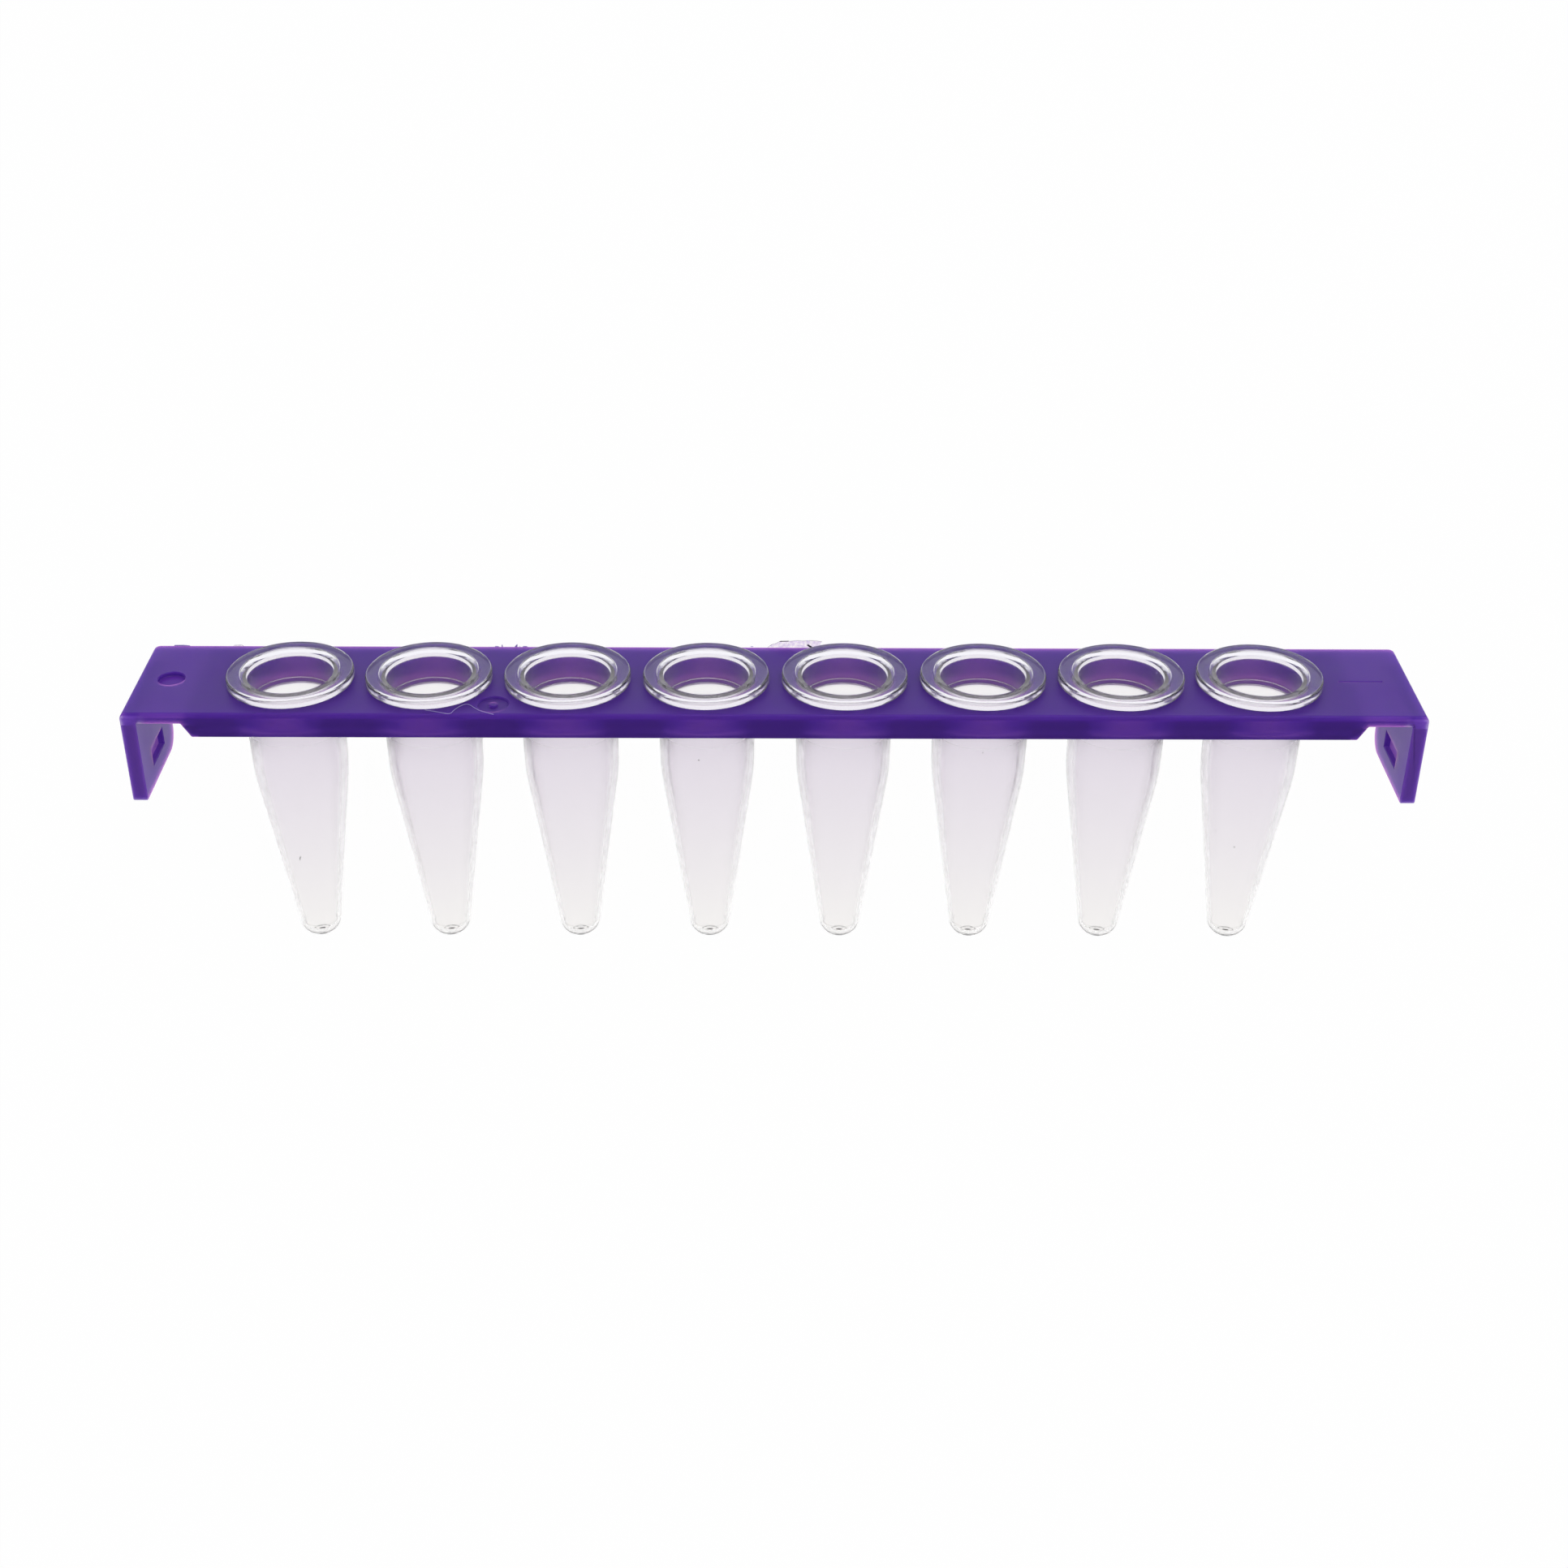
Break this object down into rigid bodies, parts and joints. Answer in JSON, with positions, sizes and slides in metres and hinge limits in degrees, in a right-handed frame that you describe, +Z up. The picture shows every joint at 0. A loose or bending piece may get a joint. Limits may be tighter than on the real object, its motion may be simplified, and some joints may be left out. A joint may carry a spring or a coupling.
{
  "type": "pcr tube strip",
  "caption": "Row of clear thin-walled PCR tubes hung by their flanges in a moulded purple frame with a hooked leg at each end, lying on its back.",
  "frame": {"origin": "centre of the strip's outline on the surface it lies on", "axes": "+X along the row of tubes from the end with the round dimple to the end with the line, +Y towards the open mouths, +Z up from the surface, out of the strip's front side"},
  "size_m": [0.083, 0.0212, 0.0096],
  "materials": {
    "frame_plastic": "moulded satin, opaque purple",
    "tube_plastic": "clear, polished mould"
  },
  "bodies": {
    "root": {"frame": "frame_plastic", "tube_1": "tube_plastic", "tube_2": "tube_plastic", "tube_3": "tube_plastic", "tube_4": "tube_plastic", "tube_5": "tube_plastic", "tube_6": "tube_plastic", "tube_7": "tube_plastic", "tube_8": "tube_plastic"}
  },
  "joints": []
}
